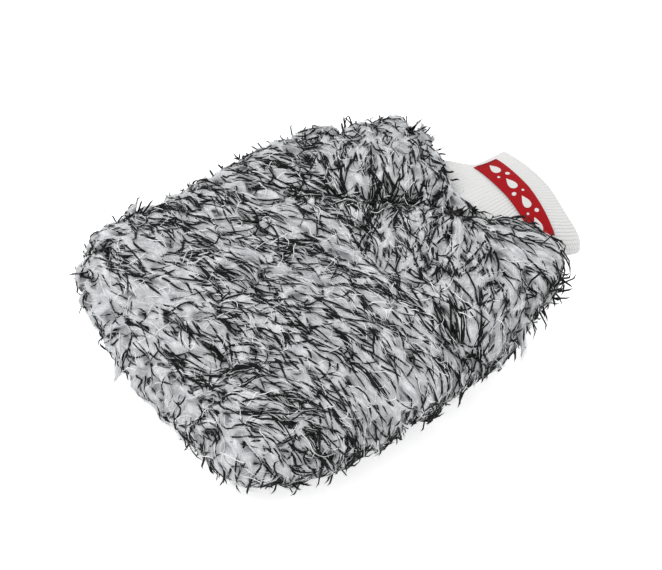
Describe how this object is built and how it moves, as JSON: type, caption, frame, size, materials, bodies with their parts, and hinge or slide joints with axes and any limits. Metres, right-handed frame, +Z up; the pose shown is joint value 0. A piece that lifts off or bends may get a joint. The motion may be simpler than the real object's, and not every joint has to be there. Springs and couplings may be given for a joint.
{
  "type": "wash mitt",
  "caption": "Plush hand mitt for washing cars: two shaggy pile panels round a lined hand pocket, gathered into a folded rib-knit cuff with a woven label.",
  "frame": {"origin": "centre of the bounding box's underside, on the surface the mitt rests on", "axes": "+X from the finger end to the cuff mouth, +Y across the width, +Z up through the thickness"},
  "size_m": [0.2599, 0.2022, 0.056],
  "materials": {
    "plush": "long cut pile, light cool grey flecked with black and white fibres",
    "lining": "plain tricot, off-white",
    "rib_knit": "rib knit, off-white",
    "elastic": "woven elastic, off-white",
    "label": "woven satin, red",
    "seam_thread": "overlocked thread, off-white",
    "label_thread": "sewing thread, dark red"
  },
  "bodies": {
    "palm": {"top_pile_panel_palm": "plush", "bottom_pile_panel_palm": "plush", "top_lining_palm": "lining", "bottom_lining_palm": "lining", "left_seam_palm": "seam_thread", "right_seam_palm": "seam_thread", "cuff_seam": "seam_thread"},
    "knuckles": {"top_pile_panel_knuckles": "plush", "bottom_pile_panel_knuckles": "plush", "top_lining_knuckles": "lining", "bottom_lining_knuckles": "lining", "left_seam_knuckles": "seam_thread", "right_seam_knuckles": "seam_thread"},
    "fingers": {"top_pile_panel_fingers": "plush", "bottom_pile_panel_fingers": "plush", "top_lining_fingers": "lining", "bottom_lining_fingers": "lining", "finger_end_seam": "seam_thread"},
    "cuff_lower": {"rib_cuff_lower": "rib_knit", "elastic_band_lower": "elastic"},
    "cuff_upper": {"rib_cuff_upper": "rib_knit", "elastic_band_upper": "elastic", "cuff_label": "label", "label_stitches_left": "label_thread", "label_stitches_right": "label_thread"}
  },
  "joints": [
    {"name": "knuckle_bend", "type": "hinge", "parent": "palm", "child": "knuckles", "pos_m": [0.012, 0, 0.027], "axis": [0, 1, 0], "range_deg": [0, 40]},
    {"name": "finger_bend", "type": "hinge", "parent": "knuckles", "child": "fingers", "pos_m": [-0.046, 0, 0.027], "axis": [0, 1, 0], "range_deg": [0, 40]},
    {"name": "wrist_bend", "type": "hinge", "parent": "palm", "child": "cuff_lower", "pos_m": [0.08, 0, 0.027], "axis": [0, -1, 0], "range_deg": [-8, 25]},
    {"name": "mouth_open", "type": "hinge", "parent": "cuff_lower", "child": "cuff_upper", "pos_m": [0.08, 0, 0.027], "axis": [0, -1, 0], "range_deg": [0, 25]}
  ]
}
